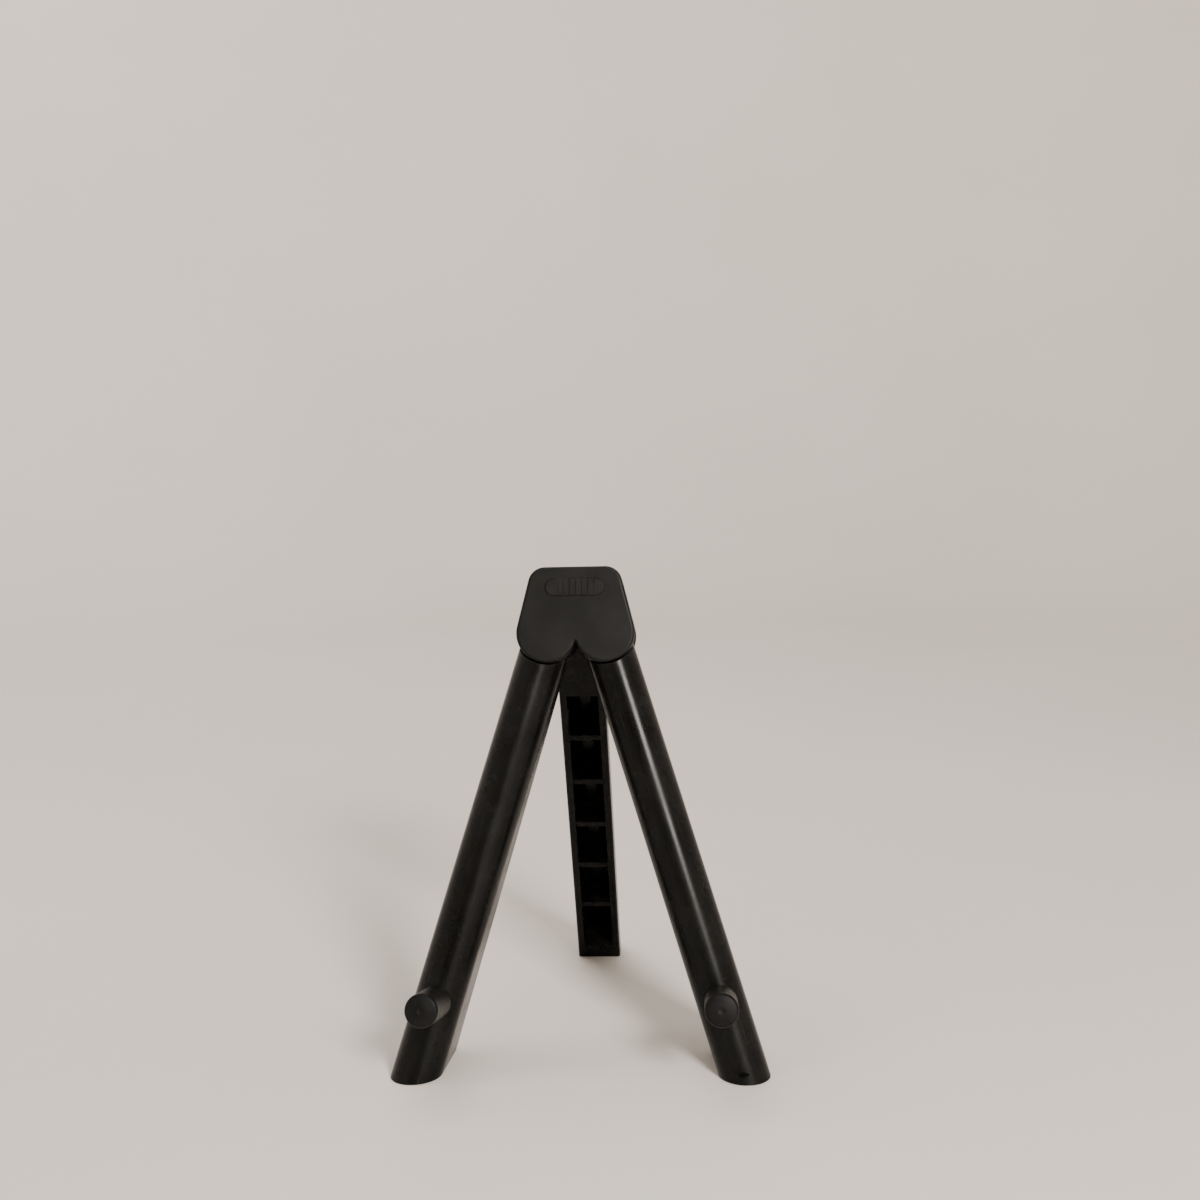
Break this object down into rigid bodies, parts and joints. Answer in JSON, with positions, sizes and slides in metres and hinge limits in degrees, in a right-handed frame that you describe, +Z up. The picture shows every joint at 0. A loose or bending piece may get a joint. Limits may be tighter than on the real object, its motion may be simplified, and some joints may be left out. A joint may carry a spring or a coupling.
{
  "type": "plate display stand",
  "caption": "Folding tripod stand that shows a plate upright: two leaning front legs with round sleeved pegs, a prop leg behind and a small pivot head.",
  "frame": {"origin": "middle of the stand's footprint box, on the surface that it stands on", "axes": "+Z up; -Y is the front, where the pegs point and the plate stands; +X is to the right of a viewer in front"},
  "size_m": [0.0972, 0.12, 0.1272],
  "materials": {
    "leg_plastic": "semi-gloss moulded black",
    "head_plastic": "semi-gloss moulded black, fine spark texture",
    "peg_rubber": "dull charcoal",
    "pad_rubber": "matt",
    "foot_rubber": "matt",
    "pin_steel": "ground",
    "rivet_steel": "nickel plated, satin",
    "screw_steel": "dark zinc",
    "washer_nylon": "natural"
  },
  "bodies": {
    "head": {"head_body": "head_plastic", "head_cover": "head_plastic", "head_pad": "pad_rubber", "head_screws": "screw_steel", "left_leg_pin": "pin_steel", "right_leg_pin": "pin_steel", "rear_leg_pin": "rivet_steel"},
    "left_leg": {"left_leg": "leg_plastic", "left_leg_washers": "washer_nylon", "left_foot_pad": "foot_rubber"},
    "right_leg": {"right_leg": "leg_plastic", "right_leg_washers": "washer_nylon", "right_foot_pad": "foot_rubber"},
    "rear_leg": {"rear_leg": "leg_plastic", "rear_leg_washers": "washer_nylon", "rear_foot_pad": "foot_rubber"},
    "left_peg": {"left_peg": "pin_steel", "left_peg_sleeve": "peg_rubber"},
    "right_peg": {"right_peg": "pin_steel", "right_peg_sleeve": "peg_rubber"}
  },
  "joints": [
    {"name": "left_leg_fold", "type": "hinge", "parent": "head", "child": "left_leg", "pos_m": [-0.0076, -0.00685, 0.10884], "axis": [0, -0.9613, 0.2756], "range_deg": [0, 16.9]},
    {"name": "right_leg_fold", "type": "hinge", "parent": "head", "child": "right_leg", "pos_m": [0.0076, -0.00685, 0.10884], "axis": [0, 0.9613, -0.2756], "range_deg": [0, 16.9]},
    {"name": "rear_leg_fold", "type": "hinge", "parent": "head", "child": "rear_leg", "pos_m": [0, 0.00438, 0.10447], "axis": [-1, 0, 0], "range_deg": [0, 36]},
    {"name": "left_peg_pull", "type": "slide", "parent": "left_leg", "child": "left_peg", "axis": [0, -0.9613, 0.2756], "range_m": [0, 0.013]},
    {"name": "right_peg_pull", "type": "slide", "parent": "right_leg", "child": "right_peg", "axis": [0, -0.9613, 0.2756], "range_m": [0, 0.013]}
  ]
}
